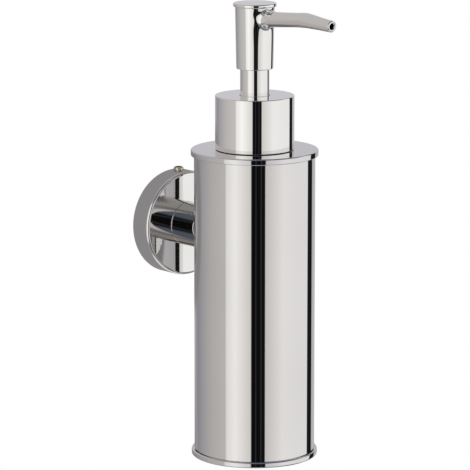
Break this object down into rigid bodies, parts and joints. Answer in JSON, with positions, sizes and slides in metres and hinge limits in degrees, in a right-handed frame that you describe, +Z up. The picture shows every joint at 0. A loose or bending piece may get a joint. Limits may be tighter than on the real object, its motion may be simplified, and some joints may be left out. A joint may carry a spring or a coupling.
{
  "type": "wall mounted soap dispenser",
  "caption": "Polished round soap canister carried on a short arm from a wall rosette, with a push-down lotion pump and a long slim spout on top.",
  "frame": {"origin": "centre of the wall bracket's back face, on the wall", "axes": "+Z up, +Y into the wall, so the dispenser stands out along -Y; +X is to the right seen from the room"},
  "size_m": [0.0526, 0.1004, 0.1893],
  "materials": {
    "polished_chrome": "mirror polished chrome plate",
    "polished_steel": "mirror polished stainless steel",
    "bracket_steel": "zinc plated, dull",
    "fastener_steel": "bright zinc plated",
    "screw_brass": "pale plated brass",
    "spring_steel": "bright drawn wire",
    "bottle_plastic": "milky translucent, satin",
    "pump_plastic": "white moulded",
    "tube_plastic": "milky, satin",
    "closure_plastic": "pale grey moulded",
    "seal_rubber": "matt black"
  },
  "bodies": {
    "wall_unit": {"wall_bracket": "bracket_steel", "rosette": "polished_chrome", "rosette_set_screw": "screw_brass", "support_arm": "polished_chrome", "arm_screw": "fastener_steel", "arm_lock_washer": "fastener_steel", "canister_tube": "polished_steel", "canister_screw": "fastener_steel", "saddle_washer": "seal_rubber", "top_cap": "polished_steel", "bottom_cap": "polished_steel", "inner_bottle": "bottle_plastic"},
    "pump_unit": {"pump_housing": "pump_plastic", "neck_gasket": "seal_rubber", "stem_guide": "pump_plastic", "neck_sleeve": "polished_chrome", "dip_tube": "tube_plastic", "spring_seat": "pump_plastic", "return_spring": "spring_steel"},
    "closure": {"screw_closure": "closure_plastic", "collar_shell": "polished_chrome"},
    "plunger": {"piston_seal": "tube_plastic"},
    "head": {"pump_stem": "pump_plastic", "pump_head": "polished_chrome", "head_cap": "polished_chrome"},
    "ball": {"inlet_ball": "spring_steel"}
  },
  "joints": [
    {"name": "pump_lift_out", "type": "slide", "parent": "wall_unit", "child": "pump_unit", "axis": [0, 0, 1], "range_m": [0, 0.145]},
    {"name": "closure_turn", "type": "hinge", "parent": "pump_unit", "child": "closure", "pos_m": [0, -0.053, 0.05], "axis": [0, 0, 1], "range_deg": [0, 540]},
    {"name": "pump_press", "type": "slide", "parent": "pump_unit", "child": "plunger", "axis": [0, 0, 1], "range_m": [-0.0095, 0], "stiffness_N_per_m": 1200, "springref_m": 0.0067, "deforming": ["return_spring"]},
    {"name": "spout_swivel", "type": "hinge", "parent": "plunger", "child": "head", "pos_m": [0, -0.053, 0.0909], "axis": [0, 0, 1], "continuous": true},
    {"name": "inlet_ball_lift", "type": "slide", "parent": "pump_unit", "child": "ball", "axis": [0, 0, 1], "range_m": [0, 0.0012]}
  ]
}
